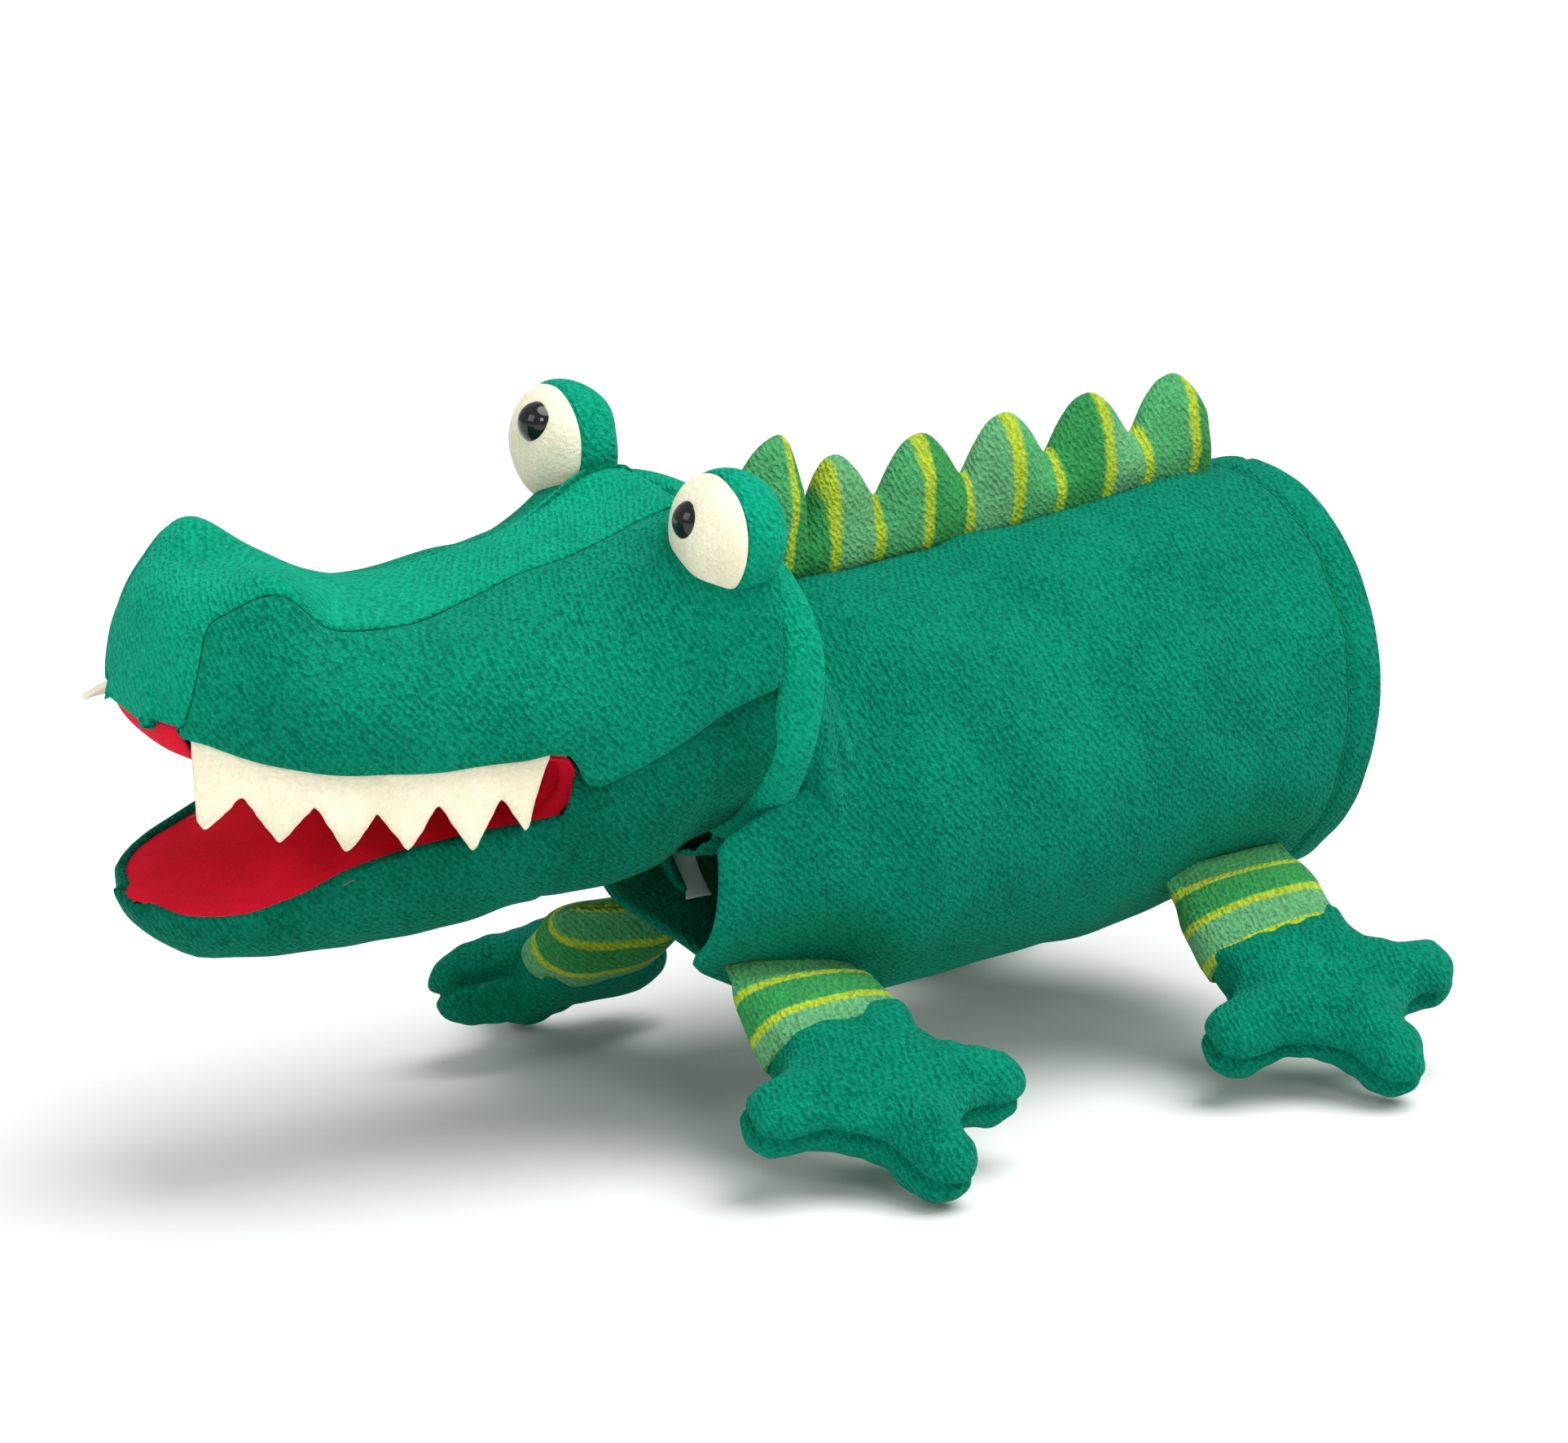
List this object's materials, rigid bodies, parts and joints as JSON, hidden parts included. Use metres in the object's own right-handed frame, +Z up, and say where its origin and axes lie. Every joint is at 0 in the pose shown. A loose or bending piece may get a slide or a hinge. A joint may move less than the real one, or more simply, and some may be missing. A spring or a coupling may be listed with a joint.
{
  "type": "moving mouth puppet",
  "caption": "Long-snouted soft hand puppet with a hinged, toothed mouth, raised bead eyes, a striped crest along an open-ended body tube and hinged splayed feet.",
  "frame": {"origin": "on the ground, under the middle of the puppet's bounding box, standing on its four feet", "axes": "+Z up, the nose points along -Y, the puppet's left side is +X"},
  "size_m": [0.246, 0.3812, 0.2137],
  "materials": {
    "velour": "short knitted pile",
    "striped_velour": "short knitted pile with printed stripes",
    "red_cotton": "plain weave cotton",
    "felt": "soft felt",
    "label_tape": "woven tape, blank",
    "wadding": "loose fibre",
    "board": "stiff sheet",
    "bead": "polished",
    "washer": "moulded"
  },
  "bodies": {
    "torso": {"body_left": "velour", "body_right": "velour", "rear_hem": "velour", "crest_left": "striped_velour", "crest_right": "striped_velour", "care_label": "label_tape"},
    "neck": {"neck_sleeve": "velour"},
    "wrist": {"wrist_lining": "red_cotton"},
    "head": {"head_top": "velour", "head_side_left": "velour", "head_side_right": "velour", "hood_band": "velour", "throat_panel": "velour", "upper_palate": "red_cotton", "upper_board": "board", "snout_filling": "wadding", "finger_pocket": "red_cotton", "teeth_left": "felt", "teeth_right": "felt", "mouth_fold_left": "red_cotton", "mouth_fold_right": "red_cotton", "eye_dome_left": "velour", "eye_dome_right": "velour", "eye_white_left": "felt", "eye_white_right": "felt", "eye_bead_left": "bead", "eye_bead_right": "bead", "eye_washer_left": "washer", "eye_washer_right": "washer"},
    "jaw": {"jaw_panel": "velour", "jaw_palate": "red_cotton", "jaw_board": "board", "jaw_filling": "wadding", "thumb_pocket": "red_cotton"},
    "leg_front_left": {"sleeve_front_left": "striped_velour"},
    "foot_front_left": {"foot_top_front_left": "velour", "foot_sole_front_left": "velour"},
    "leg_front_right": {"sleeve_front_right": "striped_velour"},
    "foot_front_right": {"foot_top_front_right": "velour", "foot_sole_front_right": "velour"},
    "leg_rear_left": {"sleeve_rear_left": "striped_velour"},
    "foot_rear_left": {"foot_top_rear_left": "velour", "foot_sole_rear_left": "velour"},
    "leg_rear_right": {"sleeve_rear_right": "striped_velour"},
    "foot_rear_right": {"foot_top_rear_right": "velour", "foot_sole_rear_right": "velour"}
  },
  "joints": [
    {"name": "head_tilt", "type": "hinge", "parent": "torso", "child": "neck", "pos_m": [0, -0.016, 0.106], "axis": [0, 1, 0], "range_deg": [-10, 10]},
    {"name": "head_turn", "type": "hinge", "parent": "neck", "child": "wrist", "pos_m": [0, -0.016, 0.106], "axis": [0.1562, -0.0082, 0.9877], "range_deg": [-15, 15]},
    {"name": "head_nod", "type": "hinge", "parent": "wrist", "child": "head", "pos_m": [0, -0.016, 0.106], "axis": [0.9863, -0.0517, -0.1564], "range_deg": [-12, 12]},
    {"name": "jaw_open", "type": "hinge", "parent": "head", "child": "jaw", "pos_m": [-0.00158, -0.08201, 0.11785], "axis": [0.9863, -0.0517, -0.1564], "range_deg": [-20, 18], "deforming": ["mouth_fold_left", "mouth_fold_right"]},
    {"name": "hip_front_left", "type": "hinge", "parent": "torso", "child": "leg_front_left", "pos_m": [0.041, -0.012, 0.04996], "axis": [0, -0.9899, 0.1419], "range_deg": [-12, 25]},
    {"name": "ankle_front_left", "type": "hinge", "parent": "leg_front_left", "child": "foot_front_left", "pos_m": [0.06042, -0.012, 0.03585], "axis": [0, -0.9986, -0.0523], "range_deg": [-15, 15]},
    {"name": "hip_front_right", "type": "hinge", "parent": "torso", "child": "leg_front_right", "pos_m": [-0.041, -0.012, 0.04996], "axis": [0, 0.9899, -0.1419], "range_deg": [-12, 25]},
    {"name": "ankle_front_right", "type": "hinge", "parent": "leg_front_right", "child": "foot_front_right", "pos_m": [-0.06042, -0.012, 0.03585], "axis": [0, 0.9986, 0.0523], "range_deg": [-15, 15]},
    {"name": "hip_rear_left", "type": "hinge", "parent": "torso", "child": "leg_rear_left", "pos_m": [0.04532, 0.144, 0.05678], "axis": [0, -0.9951, -0.0993], "range_deg": [-12, 25]},
    {"name": "ankle_rear_left", "type": "hinge", "parent": "leg_rear_left", "child": "foot_rear_left", "pos_m": [0.06613, 0.144, 0.03804], "axis": [0, -0.9744, -0.225], "range_deg": [-15, 15]},
    {"name": "hip_rear_right", "type": "hinge", "parent": "torso", "child": "leg_rear_right", "pos_m": [-0.04532, 0.144, 0.05678], "axis": [0, 0.9951, 0.0993], "range_deg": [-12, 25]},
    {"name": "ankle_rear_right", "type": "hinge", "parent": "leg_rear_right", "child": "foot_rear_right", "pos_m": [-0.06613, 0.144, 0.03804], "axis": [0, 0.9744, 0.225], "range_deg": [-15, 15]}
  ]
}
